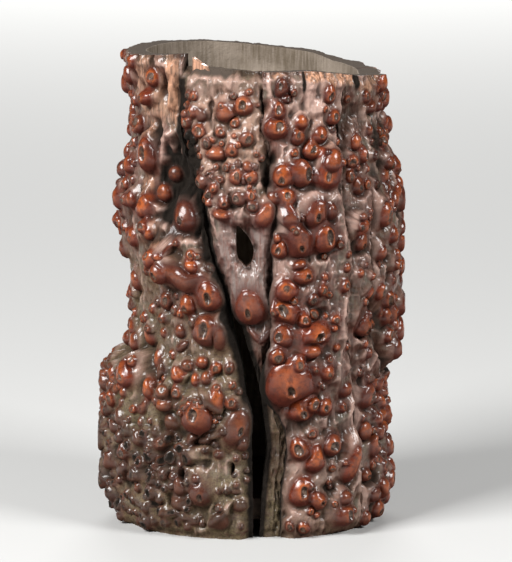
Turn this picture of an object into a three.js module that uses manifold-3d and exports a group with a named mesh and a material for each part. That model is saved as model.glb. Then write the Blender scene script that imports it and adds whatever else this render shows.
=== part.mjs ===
// A brush pot of knotted root wood: stems grown together round a well that a board closes.
// Millimetres, +Z up, front towards -Y. Angles are degrees from the front, positive to the right.

import * as THREE from 'three';
import { LoftGeometry } from 'three/addons/geometries/LoftGeometry.js';
import { mergeVertices } from 'three/addons/utils/BufferGeometryUtils.js';
import Module from 'manifold-3d';

const wasm = await Module();
wasm.setup();

// Driving dimensions
const HEIGHT = 200; // middle of the rim
const WELL_RADIUS_RIM = 45;
const WELL_RADIUS_FLOOR = 39.5;
const FLOOR_TOP = 17;
const FLOOR_THICKNESS = 9;
const REBATE_DEPTH = 2.6; // how far the floor board is let into the wall
const LEAST_WALL = 4.5;
const SEAM_GAP = 0.4;
const FIT_GAP = 0.3;
const GROOVE_SPREAD = 1.5; // a groove's width on each stem, for 1 of depth
const FOOT_ROUNDING = 2.2;
const RIM_ROUNDING = 1.5;
const RIM_ZONE = 14; // the rim's own slope starts this far below the middle of the rim
const KNOB_SINK = 0.18; // share of its radius that a knob's widest ring lies inside the wood
// A knob of radius 1 from its root to its tip: radius, distance outwards
const KNOB_PROFILE = [[0, -1.5], [1, 0], [0.75, 0.6], [0, 0.86]];
const KNOB_DROOP = 12; // degrees that a knob hangs down
const EYE_SHARE = 0.34; // radius of the eye at a large knob's tip, as a share of the knob's radius
const EYED_KNOB_RADIUS = 5.1; // knobs over this size have an eye
const TONGUE = { angle: -27, width: 7.5, depth: 2.4, height: 7, shoulder: 3 }; // thin slip at the rim

// Heights in the lists below are read on a pot this tall
const DRAWN_HEIGHT = 200;
const ROWS = 11;
const OUTER_STEP = 6.2; // degrees between points of the outside
const WELL_SIDES = 48;
const KNOB_SIDES = 6;
const LEDGE_RISE = 0.5;
const SHOULDER = 63; // where the short stem at the right ends on its neighbour
const SHELF = 0.5;
const BURL_TOP = [68, 75]; // the foot's big burl steps in to the stem between these heights

// Outline radius against height on the four sides
const LEFT_SIDE = [[0, 57.5], [10, 60.5], [24, 63.5], [34, 64], [46, 62.5], [58, 63.5],
  [BURL_TOP[0], 62], [BURL_TOP[1], 51.5], [90, 49.5], [109, 51.5], [128, 56], [140, 55.5], [156, 52],
  [176, 49.5], [190, 52.5], [200, 56]];
const RIGHT_SIDE = [[0, 54], [16, 57.5], [26, 57], [58, 54.5], [68, 59.5], [92, 61.5], [112, 63], [145, 61],
  [175, 54.5], [200, 55.5]];
const FRONT_SIDE = [[0, 51], [60, 52.5], [110, 54.5], [150, 54], [200, 51]];
const BACK_SIDE = [[0, 53], [60, 54.5], [110, 55.5], [150, 54], [200, 52]];

// Seams between neighbouring stems: height, angle
const SEAM_LEFT_CENTRE = [[0, 0], [38, -0.5], [55, -2.5], [73, -5], [90, -10.5], [106, -15],
  [122, -21], [138, -25], [152, -29], [161, -34], [172, -37], [186, -36.5]];
const CLEFT_WIDTH = [[0, 3.5], [20, 5.5], [40, 8.5], [60, 8], [80, 5.5], [92, 4.6], [106, 0]];
const SEAM_CENTRE_FRONT = [[0, 15], [20, 15], [38, 18], [46, 17], [56, 11], [64, 9], [80, 8.5],
  [100, 9.2], [122, 9.5], [136, 10.5], [147, 7], [157, 8.5], [170, 7], [186, 5]];
const SEAM_FRONT_RIGHT = [[0, 58], [18, 57], [38, 54.5], [56, 53], [70, 49], [92, 44.5], [118, 46],
  [145, 42], [172, 46], [186, 47]];
const SEAM_RIGHT_SIDE = [[0, 103], [SHOULDER, 103], [SHOULDER + SHELF, 80], [76, 66], [88, 60],
  [100, 57], [150, 58.5], [186, 57]];
const SEAM_SIDE_BACK = [[0, 103], [70, 103], [120, 99], [186, 104]];
const SEAM_BACK = [[0, 176], [50, 181], [110, 174], [160, 183], [186, 180]];
const SEAM_BACK_LEFT = [[0, 262], [60, 257], [110, 264], [160, 259], [186, 261]];

// Depth of the groove over each seam: height, depth
const GROOVE_LEFT_CENTRE = [[0, 4.6], [200, 4.6]];
const GROOVE_CENTRE_FRONT = [[0, 3], [45, 3], [70, 4], [100, 3], [135, 3.4], [165, 3.6], [186, 2]];
const GROOVE_FRONT_RIGHT = [[0, 1], [56, 1], [72, 2.5], [95, 2], [110, 1], [140, 1.2], [158, 3],
  [176, 3.4], [192, 1.2]];
const GROOVE_RIGHT_SIDE = [[0, 0.8], [60, 1], [66, 3.6], [96, 3.4], [112, 1], [150, 1], [165, 1.6],
  [200, 1]];
const GROOVE_SIDE_BACK = [[0, 1], [200, 1]];
const GROOVE_BACK = [[0, 2.5], [60, 1.5], [120, 3], [200, 1.5]];
const GROOVE_BACK_LEFT = [[0, 1], [75, 2], [200, 1]];

// The hole between the centre stem's two strands: across, height
const HOLE = [[-6.6, 134], [-4.4, 132.6], [-1.6, 129], [0.3, 124.5], [-0.2, 119.5], [-2.4, 116.8],
  [-4.8, 118.6], [-6.4, 120.6], [-6.9, 127]];

// The hidden stems: sizes of their knobs, and the share of the circle from each knob to the next
const BACK_KNOB_RADII = [5.2, 3.4, 4.4, 3, 6, 3.8];
const GOLDEN_TURN = 0.618034;

const DEGREE = Math.PI / 180;
const TURN = 360;

// Value along a list of [place, value], straight between the listed points
function along(list, place) {
  const after = list.findIndex(([listed]) => place <= listed);
  if (after === 0) return list[0][1];
  if (after < 0) return list[list.length - 1][1];
  const [place0, value0] = list[after - 1];
  const [place1, value1] = list[after];
  return value0 + (value1 - value0) * (place - place0) / (place1 - place0);
}

// The same for a list whose places are drawn heights
function atHeight(list, height) {
  return along(list, height / HEIGHT * DRAWN_HEIGHT);
}

function scaled(drawn) {
  return drawn / DRAWN_HEIGHT * HEIGHT;
}

function smooth(t) {
  const c = Math.min(Math.max(t, 0), 1);
  return c * c * (3 - 2 * c);
}

function polar(radius, angle, height) {
  return new THREE.Vector3(radius * Math.sin(angle * DEGREE), -radius * Math.cos(angle * DEGREE), height);
}

function wellRadius(height) {
  return WELL_RADIUS_FLOOR + (WELL_RADIUS_RIM - WELL_RADIUS_FLOOR) * height / HEIGHT;
}

// Outside radius of the whole cluster, before grooves and knobs
function outline(angle, height) {
  const front = Math.cos(angle * DEGREE);
  const right = Math.sin(angle * DEGREE);
  const ahead = atHeight(front > 0 ? FRONT_SIDE : BACK_SIDE, height);
  const aside = atHeight(right > 0 ? RIGHT_SIDE : LEFT_SIDE, height);
  return ahead * front ** 2 + aside * right ** 2;
}

function rimHeight(stem, angle) {
  return HEIGHT + along(stem.rim, angle);
}

// The two edges of a stem at a height; above the rim zone they run straight up
function edges(stem, height) {
  const level = Math.min(height, HEIGHT - RIM_ZONE);
  const half = SEAM_GAP / 2 / wellRadius(level) / DEGREE;
  return [stem.from(level) + half, stem.to(level) - half];
}

// Outside radius of one stem: rounded down at both edges and at the foot and rim
function stemRadius(stem, angle, height) {
  const [from, to] = edges(stem, height);
  const base = outline(angle, height);
  const toRim = rimHeight(stem, angle) - height;
  const groove = Math.max(...[angle - from, to - angle].map((aside, side) => {
    const depth = atHeight(stem.grooves[side], height);
    return depth * (1 - smooth(aside * DEGREE * base / depth / GROOVE_SPREAD));
  }));
  const foot = FOOT_ROUNDING * (1 - smooth(height / (2 * FOOT_ROUNDING)));
  const bevel = (stem.bevel || RIM_ROUNDING) * (1 - smooth(toRim / (3 * RIM_ROUNDING)));
  const inset = stem.inset ? atHeight(stem.inset, height) : 0;
  let radius = base - groove - foot - bevel - inset;
  for (const dent of stem.dents || []) {
    const across = (angle - dent.angle) * DEGREE * base / dent.half;
    const up = (height / HEIGHT * DRAWN_HEIGHT - dent.height) / dent.halfHeight;
    radius -= dent.depth * (1 - smooth(Math.hypot(across, up)));
  }
  return Math.max(radius, wellRadius(height) + LEAST_WALL - bevel);
}

function toManifold(geometry) {
  const bare = new THREE.BufferGeometry();
  bare.setAttribute('position', geometry.attributes.position);
  bare.setIndex(geometry.index);
  const merged = mergeVertices(bare, 1e-4);
  return new wasm.Manifold(new wasm.Mesh({
    numProp: 3,
    vertProperties: new Float32Array(merged.attributes.position.array),
    triVerts: new Uint32Array(merged.index.array),
  }));
}

function toGeometry(solid) {
  const mesh = solid.getMesh();
  const geometry = new THREE.BufferGeometry();
  geometry.setAttribute('position', new THREE.BufferAttribute(mesh.vertProperties, 3));
  geometry.setIndex(new THREE.BufferAttribute(mesh.triVerts, 1));
  geometry.computeVertexNormals();
  return geometry;
}

function loftSolid(sections) {
  return toManifold(new LoftGeometry(sections, { closed: true, capStart: true, capEnd: true }));
}

// Rows shared by all stems, so that neighbours' seam faces run alike, and those at a stem's own
// breaks: a level, and how far from that level the row has risen to the rim
function rows(stem) {
  const rimStart = HEIGHT - RIM_ZONE;
  const bottom = stem.bottom ? scaled(stem.bottom) + SEAM_GAP : 0;
  const levels = [FOOT_ROUNDING, rimStart, ...(stem.breaks || []).map(scaled)];
  for (let i = 1; i < ROWS; i++) levels.push(FOOT_ROUNDING + (rimStart - FOOT_ROUNDING) * i / ROWS);
  const inside = levels.filter((height) => height > bottom).sort((a, b) => a - b);
  const plain = [bottom, ...inside].map((height) => ({ height, rise: 0 }));
  return [...plain, ...[0.4, 0.75, 0.92, 1].map((rise) => ({ height: rimStart, rise }))];
}

// One closed section: the outside from seam to seam, then the two seams' ends just inside the well
function stemSection(stem, row) {
  const [from, to] = edges(stem, row.height);
  const level = (angle) => row.height + row.rise * (rimHeight(stem, angle) - row.height);
  const count = Math.round(stem.span / OUTER_STEP);
  const points = [];
  for (let i = 0; i <= count; i++) {
    const angle = from + (to - from) * i / count;
    points.push(polar(stemRadius(stem, angle, level(angle)), angle, level(angle)));
  }
  for (const angle of [to, from]) points.push(polar(wellRadius(row.height) - 1, angle, level(angle)));
  return points;
}

// The wedge of space between a stem's two seams, which its knobs keep to
function wedgeSection(stem, row) {
  const [outerTo, innerTo, innerFrom, outerFrom] = [-3, -2, -1, 0].map((i) => stemSection(stem, row).at(i));
  const beyond = (outer, inner) => outer.clone().sub(inner).setLength(WELL_RADIUS_RIM).add(inner);
  const [from, to] = edges(stem, row.height);
  const far = polar(3 * WELL_RADIUS_RIM, (from + to) / 2, outerFrom.z);
  return [beyond(outerFrom, innerFrom), far, beyond(outerTo, innerTo), innerTo, innerFrom];
}

// A burl knob: a drop that hangs a little, its widest ring just inside the wood. Returns the
// drop and the eye that is cut in its tip, or null for a small one.
function knob(stem, angle, drawn, radius, stretch) {
  const height = scaled(drawn);
  const eyed = radius > EYED_KNOB_RADIUS;
  const profile = KNOB_PROFILE.map(([r, out]) => new THREE.Vector2(r * radius, -out * radius));
  const drop = new THREE.LatheGeometry(profile.reverse(), eyed ? KNOB_SIDES + 2 : KNOB_SIDES);
  drop.scale(1, 1, stretch);
  const eye = new THREE.SphereGeometry(radius * EYE_SHARE, 5, 4);
  eye.translate(0, profile[0].y, 0);
  const middle = polar(stemRadius(stem, angle, height) - radius * KNOB_SINK, angle, height);
  for (const shape of [drop, eye]) {
    shape.rotateX(-KNOB_DROOP * DEGREE);
    shape.rotateZ(angle * DEGREE);
    shape.translate(middle.x, middle.y, middle.z);
  }
  return [toManifold(drop), eyed ? toManifold(eye) : null];
}

function stemSolid(stem) {
  const wood = loftSolid(rows(stem).map((row) => stemSection(stem, row)));
  let drops = null;
  const eyes = [];
  for (const [angle, height, radius, stretch = 1] of stem.knobs) {
    const [drop, eye] = knob(stem, angle, height, radius, stretch);
    drops = drops ? drops.add(drop) : drop;
    if (eye) eyes.push(eye);
  }
  const wedge = loftSolid(rows(stem).map((row) => wedgeSection(stem, row)));
  const knobbed = wood.add(drops.intersect(wedge));
  return eyes.reduce((solid, eye) => solid.subtract(eye), knobbed).subtract(wellSolid());
}

// The well is turned out of the whole cluster, wider at the foot for the board
function wellSolid() {
  const boardRadius = WELL_RADIUS_FLOOR + REBATE_DEPTH;
  const top = HEIGHT + RIM_ZONE;
  const profile = [[0, -1], [boardRadius, -1], [boardRadius, FLOOR_TOP - LEDGE_RISE],
    [wellRadius(FLOOR_TOP), FLOOR_TOP], [wellRadius(top), top], [0, top]];
  const well = new THREE.LatheGeometry(profile.map(([r, z]) => new THREE.Vector2(r, z)), WELL_SIDES);
  well.rotateX(90 * DEGREE);
  return toManifold(well);
}

// The hole is cut straight in from the front
function holeSolid() {
  const curve = new THREE.SplineCurve(HOLE.map(([x, z]) => new THREE.Vector2(x, scaled(z))));
  const shape = new THREE.Shape(curve.getPoints(20).reverse());
  const depth = 2 * WELL_RADIUS_RIM;
  const cutter = new THREE.ExtrudeGeometry(shape, { depth, bevelEnabled: false, steps: 1 });
  cutter.rotateX(90 * DEGREE);
  cutter.translate(0, -WELL_RADIUS_FLOOR / 2, 0);
  return toManifold(cutter);
}

// A thin slip of the well's wall that stands above the centre stem's low rim
function tongueSolid() {
  const shape = new THREE.Shape();
  shape.moveTo(-TONGUE.width / 2, 0);
  shape.lineTo(TONGUE.width / 2, 0);
  shape.lineTo(TONGUE.width / 2, TONGUE.shoulder);
  shape.lineTo(-TONGUE.width / 2, TONGUE.height);
  const slip = new THREE.ExtrudeGeometry(shape, { depth: TONGUE.depth, bevelEnabled: false, steps: 1 });
  slip.rotateX(90 * DEGREE);
  slip.translate(0, -WELL_RADIUS_RIM - FIT_GAP, HEIGHT - TONGUE.height + TONGUE.shoulder);
  slip.rotateZ(TONGUE.angle * DEGREE);
  return toManifold(slip);
}

// A disc with eased edges, pushed up against the ledge in the wall
function floorBoard() {
  const radius = WELL_RADIUS_FLOOR + REBATE_DEPTH - FIT_GAP;
  const top = FLOOR_TOP - LEDGE_RISE - FIT_GAP;
  const bottom = top - FLOOR_THICKNESS;
  const ease = 0.8;
  const profile = [[0, bottom], [radius - ease, bottom], [radius, bottom + ease], [radius, top], [0, top]];
  const board = new THREE.LatheGeometry(profile.map(([r, z]) => new THREE.Vector2(r, z)), WELL_SIDES);
  board.rotateX(90 * DEGREE);
  return toManifold(board);
}

// Knobs of a hidden stem, spread over its face by the golden turn
function scatter(from, to, count) {
  const margin = 0.12 * (to - from);
  const knobs = [];
  for (let i = 0; i < count; i++) {
    const angle = from + margin + (to - from - 2 * margin) * ((i * GOLDEN_TURN) % 1);
    const height = DRAWN_HEIGHT * (0.06 + 0.86 * (i + 0.5) / count);
    knobs.push([angle, height, BACK_KNOB_RADII[i % BACK_KNOB_RADII.length], 1.15]);
  }
  return knobs;
}

const seam = (list, back = 0) => (height) => atHeight(list, height) - back;

// Each stem: its edges, the grooves over them, its width for counting points, the rim's height
// above HEIGHT against angle, and its knobs as angle, height, radius and stretch
const STEMS = {
  left_root: {
    colour: 0x8a5a42,
    span: 95,
    breaks: BURL_TOP,
    from: seam(SEAM_BACK_LEFT, TURN),
    to: seam(SEAM_LEFT_CENTRE),
    grooves: [GROOVE_BACK_LEFT, GROOVE_LEFT_CENTRE],
    rim: [[-100, 1], [-60, 2.5], [-36, 4.5]],
    dents: [
      { angle: -36, height: 152, half: 13, halfHeight: 26, depth: 6 },
      { angle: -46, height: 190, half: 4, halfHeight: 10, depth: 4 },
    ],
    knobs: [
      [-53, 193, 3.4], [-57, 185, 4.6, 0.7], [-55, 159, 4.6, 1.2], [-47, 145, 3.2], [-55, 138, 4],
      [-43, 153, 3], [-32, 136, 4.6], [-44, 120, 3.6], [-39, 113, 4], [-31, 112, 5.8], [-20, 103, 4.6],
      [-30, 99, 3.4], [-43, 100, 3.2], [-56, 83, 3.4], [-21, 89, 5.6], [-61, 66, 5], [-40, 57, 3.4],
      [-8, 48, 5.2, 1.4], [-25, 52, 6.4], [-38, 49, 3.4], [-52, 41, 3], [-61, 43, 3.2], [-62, 33, 3.2],
      [-74, 42, 3], [-55, 24, 3], [-66, 24, 3.4], [-76, 26, 3.6], [-35, 15, 3], [-25, 19, 4.6],
      [-16, 8, 3.4], [-82, 60, 4], [-88, 33, 4.2], [-84, 16, 3.6], [-84, 138, 4], [-90, 128, 3.6],
      [-86, 116, 3.4], [-85, 92, 3.2], [-92, 186, 3.4], [-72, 78, 3.4], [-94, 60, 3.2],
      [-72, 104, 3.4], [-68, 124, 3.6], [-76, 154, 3.6], [-67, 172, 3.4], [-84, 172, 3.2],
      [-74, 192, 3.2],
    ],
  },
  centre_root: {
    colour: 0x84644f,
    span: 43,
    from: (height) => atHeight(SEAM_LEFT_CENTRE, height) + atHeight(CLEFT_WIDTH, height),
    to: seam(SEAM_CENTRE_FRONT),
    grooves: [GROOVE_LEFT_CENTRE, GROOVE_CENTRE_FRONT],
    rim: [[-36, -1], [-20, -0.5], [0, -2], [5, -2]],
    bevel: 4,
    inset: [[0, 6.5], [48, 5.5], [70, 3.2], [100, 1.8], [134, 1.6], [138, 0], [200, 0.6]],
    dents: [{ angle: -28, height: 152, half: 9, halfHeight: 24, depth: 4.5 }],
    holed: true,
    knobs: [
      [-25, 173, 3, 0.8], [-12, 181, 3.6, 0.8], [-4, 184, 3.8, 0.8], [-3, 171, 2.8], [-17, 164, 4, 0.6],
      [-23, 152, 3.2, 0.9], [-1, 155, 2.8], [-14, 139, 3.2, 0.5], [4.5, 138, 3.2, 1.2],
      [-1, 100, 6.6, 1.2],
    ],
  },
  front_root: {
    colour: 0x8f4f38,
    span: 38,
    from: seam(SEAM_CENTRE_FRONT),
    to: seam(SEAM_FRONT_RIGHT),
    grooves: [GROOVE_CENTRE_FRONT, GROOVE_FRONT_RIGHT],
    rim: [[5, -2], [28, -2], [48, -4.5]],
    dents: [{ angle: 46, height: 172, half: 6, halfHeight: 14, depth: 4 }],
    knobs: [
      [13, 191, 3.4, 1.3], [10, 177, 5.6, 1.15], [20, 171, 3], [31, 171, 3], [39, 178, 3], [27, 165, 3.6],
      [34, 159, 3.6], [22, 155, 4.8, 0.95], [13, 155, 3.8], [33, 154, 4.6], [15, 146, 3.4],
      [28, 138, 5.2], [32, 127, 4.6], [12, 124, 3], [21, 127, 5.4, 1.1], [22, 113, 4, 0.8],
      [15, 107, 4.4], [16, 97, 4.8], [14, 87, 3.8], [28, 88, 6.2, 0.8], [26, 82, 4, 0.6], [34, 71, 3],
      [17, 66, 9.4, 0.95], [22, 54, 5, 0.8], [27, 57, 3.2], [34, 56, 3.2], [22, 38, 3.6], [29, 33, 4.2],
      [38, 39, 4.2], [48, 28, 3.8, 1.6], [23, 19, 4.6], [31, 16, 3.4], [44, 16, 3.2, 0.8],
      [44, 8, 5, 0.8],
    ],
  },
  right_root: {
    colour: 0x86503c,
    span: 46,
    breaks: [SHOULDER, SHOULDER + SHELF],
    from: seam(SEAM_FRONT_RIGHT),
    to: seam(SEAM_RIGHT_SIDE),
    grooves: [GROOVE_FRONT_RIGHT, GROOVE_RIGHT_SIDE],
    rim: [[47, -4.5], [58, -6]],
    knobs: [
      [48, 159, 3], [51, 148, 3], [51, 130, 3.6, 1.2], [52, 124, 3], [54, 88, 4, 0.9], [60, 57, 4.6],
      [60, 42, 3.6], [66, 35, 3.8, 1.5], [84, 44, 4], [70, 15, 3.6], [90, 20, 4.6], [84, 30, 3.4],
      [74, 5.5, 3.4], [92, 8, 3],
    ],
  },
  side_root: {
    colour: 0x8b5744,
    span: 44,
    bottom: SHOULDER + SHELF,
    inset: [[SHOULDER, 2.5], [SHOULDER + 9, 0]],
    from: seam(SEAM_RIGHT_SIDE),
    to: seam(SEAM_SIDE_BACK),
    grooves: [GROOVE_RIGHT_SIDE, GROOVE_SIDE_BACK],
    rim: [[57, -6], [90, -9], [104, -8]],
    knobs: [
      [78, 188, 3.4], [90, 180, 3.4], [64, 180, 2.8, 0.8], [70, 150, 3], [63, 134, 4], [76, 154, 3],
      [88, 150, 4], [90, 136, 4], [86, 119, 3.6], [72, 113, 3], [92, 108, 4], [70, 96, 3.8], [84, 92, 4],
      [88, 80, 4], [78, 74, 3.6], [96, 168, 3.4], [94, 100, 3],
    ],
  },
  back_right_root: {
    colour: 0x7d5140,
    span: 76,
    from: seam(SEAM_SIDE_BACK),
    to: seam(SEAM_BACK),
    grooves: [GROOVE_SIDE_BACK, GROOVE_BACK],
    rim: [[104, -8], [130, -7], [145, -4.5], [180, -2]],
    dents: [{ angle: 140, height: 90, half: 7, halfHeight: 80, depth: 3.5 }],
    knobs: scatter(103, 178, 20),
  },
  back_left_root: {
    colour: 0x80543f,
    span: 84,
    breaks: BURL_TOP,
    from: seam(SEAM_BACK),
    to: seam(SEAM_BACK_LEFT),
    grooves: [GROOVE_BACK, GROOVE_BACK_LEFT],
    rim: [[180, -2], [205, 0], [230, 1], [260, 1]],
    dents: [{ angle: 222, height: 120, half: 7, halfHeight: 90, depth: 3.5 }],
    knobs: scatter(178, 260, 22),
  },
};

function addPiece(group, name, solid, colour) {
  const material = new THREE.MeshStandardMaterial({ color: colour, roughness: 0.45, metalness: 0 });
  const mesh = new THREE.Mesh(toGeometry(solid), material);
  mesh.name = name;
  group.add(mesh);
}

const pot = new THREE.Group();
for (const [name, stem] of Object.entries(STEMS)) {
  const solid = stemSolid(stem);
  const finished = stem.holed ? solid.subtract(holeSolid()).add(tongueSolid()) : solid;
  addPiece(pot, name, finished, stem.colour);
}
addPiece(pot, 'floor_board', floorBoard(), 0x6e5644);

// The pot stands on the origin, with the middle of its outline over it
const bounds = new THREE.Box3().setFromObject(pot);
const centre = bounds.getCenter(new THREE.Vector3());
pot.position.set(-centre.x, -centre.y, -bounds.min.z);

export default pot;
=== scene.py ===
"""A brush pot of knotted root wood, in a plain pale studio.

Every stem is a closed surface worked out with numpy. Its bark is a grid of points over angle
and height, and knobs are grown on that grid one after another, the large ones first. Lengths
are millimetres until a mesh is made, and angles are degrees from the front, positive to the
right, measured round the well's axis.
"""

import math

import bpy
import numpy as np
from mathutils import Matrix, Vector


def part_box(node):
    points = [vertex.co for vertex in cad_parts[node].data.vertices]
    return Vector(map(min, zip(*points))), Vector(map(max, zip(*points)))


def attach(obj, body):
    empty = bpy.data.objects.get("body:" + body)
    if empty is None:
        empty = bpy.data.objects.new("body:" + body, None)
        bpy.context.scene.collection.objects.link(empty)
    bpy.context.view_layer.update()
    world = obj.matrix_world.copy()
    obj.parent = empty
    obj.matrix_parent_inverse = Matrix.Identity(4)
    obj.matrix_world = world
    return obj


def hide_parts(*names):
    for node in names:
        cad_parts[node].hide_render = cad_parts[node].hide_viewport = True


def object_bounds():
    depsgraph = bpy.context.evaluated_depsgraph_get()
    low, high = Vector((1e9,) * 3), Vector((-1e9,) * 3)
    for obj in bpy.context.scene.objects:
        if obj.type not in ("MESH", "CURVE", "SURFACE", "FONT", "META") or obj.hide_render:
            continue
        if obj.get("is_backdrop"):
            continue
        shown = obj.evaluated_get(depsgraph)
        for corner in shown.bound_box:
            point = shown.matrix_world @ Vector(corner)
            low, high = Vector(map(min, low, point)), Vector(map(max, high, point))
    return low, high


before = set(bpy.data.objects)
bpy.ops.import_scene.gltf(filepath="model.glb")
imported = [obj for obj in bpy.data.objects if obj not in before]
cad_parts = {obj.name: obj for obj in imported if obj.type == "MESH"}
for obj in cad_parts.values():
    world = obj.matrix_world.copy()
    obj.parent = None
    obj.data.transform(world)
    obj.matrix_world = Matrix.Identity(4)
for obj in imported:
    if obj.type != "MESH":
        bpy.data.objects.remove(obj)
CAD_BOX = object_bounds()

MM = 0.001
DEGREE = math.pi / 180
TURN = 360
TINY = 1e-9

# The well's axis stands in the middle of the floor board
BOARD_LOW, BOARD_HIGH = (np.array(corner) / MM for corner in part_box("floor_board"))
AXIS = (BOARD_LOW + BOARD_HIGH) / 2 * (1, 1, 0)

# The camera
CAMERA_DISTANCE = 2.0
CAMERA_RISE = 10 * DEGREE
CAMERA_LENS = 300
CAMERA_SENSOR = 36
CAMERA_FAR = 20
CAMERA_AIM = (0.002, 0.102)  # across, height

# The pot
HEIGHT = 200
WELL_RADIUS_RIM = 45
WELL_RADIUS_FLOOR = 39.5
FLOOR_TOP = 17
REBATE_DEPTH = 2.6
LEAST_WALL = 4.5
GROOVE_SPREAD = 1.5  # a groove's width on each stem, for 1 of depth
FOOT_ROUNDING = 2.2
RIM_ROUNDING = 1.5
RIM_ZONE = 14
SHOULDER = 63
SHELF = 0.5
ARC = 54 * DEGREE  # millimetres of bark to a degree, at a middling radius

# The grids
FINE_CELL, MIDDLE_CELL, COARSE_CELL = 0.42, 0.5, 0.56
WALL_STEPS = 14  # across a seam face, and across the rim
INNER_SHARE = 4  # bark columns to one column of the well's wall
EDGE_FADE = 5  # the bark's relief dies out this far in along a seam face
NOISE_TABLE = 128  # the noise repeats after this many values
RIM_WIDTH = 9  # of the torn rim's ripple, across the wall
SHARP = 62 * DEGREE  # edges bent further than this are shaded as corners
BOX_SHARE = 0.965  # of the way out to the CAD model's box: points beyond it are drawn in

# Noise over the bark: millimetres from one rise to the next across and up, and its number
SWAYING = (12, 15, 1)
FURROWS = (1.5, 16, 2)
FINE_FURROWS = (0.8, 9, 3)
FOLDS = (7, 11, 4)
SMALL_FOLDS = (3.2, 4.6, 5)
LUMPS = (1.9, 2.4, 6)
PITS = (0.9, 0.9, 7)
DIMPLES = (2.3, 2.3, 8)
DUSTING = (12, 12, 9)
SWELLINGS = (8, 13, 10)
PATCH_EDGES = (3, 5, 15)
RECESS_EDGES = (2.5, 4, 16)
WRINKLES = (1.7, 2.6, 17)

# The bark's relief, in millimetres
SWAY = 2.5
RECESS_DEPTH = 2
# Recesses are painted dark as shade, as well as sunk.
RECESS_STRENGTH = 0.7  # how dark and deep, where a recess doesn't say
FOOT_FADE = 3

# A knob, in shares of its radius where nothing else is said
BULB_SPREAD = 1.08  # a listed knob's root is this much wider than its radius
KNOB_PROUD = 1.5  # how far it stands out for its size, were it tiny
FLAT_RADIUS = 16  # millimetres: a knob of this radius stands out half as far for its size
KNOB_FLANK = 0.2  # height of the flank under its dome
KNOB_DOME = 0.62  # height of the dome
KNOB_SKIRT = 0.75  # width of bark beyond it that settles back
SKIRT_FALL = 0.24  # distance over which the skirt loses most of its height
KNOB_DROOP = 0.28  # how much it points down
KNOB_LEAN = 12  # degrees by which knobs lean at random to either side
LOWER_HALF = 0.92  # height of the half below its tip, and the upper half's least is 1
OUTWARD = 0.8  # weight of straight out, against the bark's own normal, in where it points
TWO_SIDED = 0.09  # its outline's swing, twice and three times round
THREE_SIDED = 0.06
ROUND_LEAST, ROUND_MOST = 0.6, 1.6  # only knobs stretched by shares between these have an eye
RIDGE_STRETCH = 1.7  # longer ones are dark ridges
LARGE, HUGE = 4.5, 8  # millimetres: from these radii a knob counts as large or huge
EYE_RADII = (0.24, 0.42)
CRATER_RADIUS = 0.56
EYE_DEPTHS = (0.10, 0.24)
LIP_WIDTH = 0.35  # millimetres
LIP_RISE = 0.09
STAIN_REACH = 2.2  # where the red round it ends
FLECK_MARGIN = 0.6  # how far small knobs keep from a seam
FLECK_APART = 0.8  # and from others, in shares of both radii

# The outside's distance from the axis on four sides: height, distance
LEFT_SIDE = [(0, 57.5), (10, 60.5), (24, 63.5), (34, 64), (46, 62.5), (58, 63.3), (65, 62), (69, 59.5),
             (73, 55), (76, 51.5), (90, 49.5), (109, 51.5), (128, 56), (140, 55.5), (156, 52),
             (176, 49.5), (190, 52.5), (200, 56)]
RIGHT_SIDE = [(0, 54), (16, 57.5), (26, 57), (58, 54.5), (68, 59.5), (92, 61.5), (112, 63), (145, 61),
              (175, 54.5), (200, 55.5)]
FRONT_SIDE = [(0, 51), (60, 52.5), (110, 54.5), (150, 54), (200, 51)]
BACK_SIDE = [(0, 53), (60, 54.5), (110, 55.5), (150, 54), (200, 52)]

# The seams between stems: height, angle
SEAM_LEFT_CENTRE = [(0, 0), (38, -0.5), (55, -2.5), (73, -5), (90, -10.5), (106, -15), (122, -21),
                    (138, -25), (152, -29), (161, -34), (172, -37), (186, -36.5)]
CLEFT_WIDTH = [(0, 3.5), (20, 5.5), (40, 8.5), (60, 8), (80, 5.5), (92, 4.6), (106, 0)]
SEAM_CENTRE_FRONT = [(0, 15), (20, 15), (38, 18), (46, 17), (56, 11), (64, 9), (80, 8.5), (100, 9.2),
                     (122, 9.5), (136, 10.5), (147, 7), (157, 8.5), (170, 7), (186, 5)]
SEAM_FRONT_RIGHT = [(0, 58), (18, 57), (38, 54.5), (56, 53), (70, 49), (92, 44.5), (118, 46),
                    (145, 42), (172, 46), (186, 47)]
SEAM_RIGHT_SIDE = [(0, 103), (SHOULDER, 103), (SHOULDER + SHELF, 80), (76, 66), (88, 60), (100, 57),
                   (150, 58.5), (186, 57)]
SEAM_SIDE_BACK = [(0, 103), (70, 103), (120, 99), (186, 104)]
SEAM_BACK = [(0, 176), (50, 181), (110, 174), (160, 183), (186, 180)]
SEAM_BACK_LEFT = [(0, 262), (60, 257), (110, 264), (160, 259), (186, 261)]

# Depth of the groove over each seam: height, depth
GROOVE_LEFT_CENTRE = [(0, 4.6), (200, 4.6)]
GROOVE_CENTRE_FRONT = [(0, 3), (45, 3), (70, 4), (100, 3), (135, 3.4), (165, 3.6), (186, 2)]
GROOVE_FRONT_RIGHT = [(0, 1), (56, 1), (72, 2.5), (95, 2), (110, 1), (140, 1.2), (158, 3), (176, 3.4),
                      (192, 1.2)]
GROOVE_RIGHT_SIDE = [(0, 0.8), (60, 1), (66, 3.6), (96, 3.4), (112, 1), (150, 1), (165, 1.6), (200, 1)]
GROOVE_SIDE_BACK = [(0, 1), (200, 1)]
GROOVE_BACK = [(0, 2.5), (60, 1.5), (120, 3), (200, 1.5)]
GROOVE_BACK_LEFT = [(0, 1), (75, 2), (200, 1)]

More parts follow.
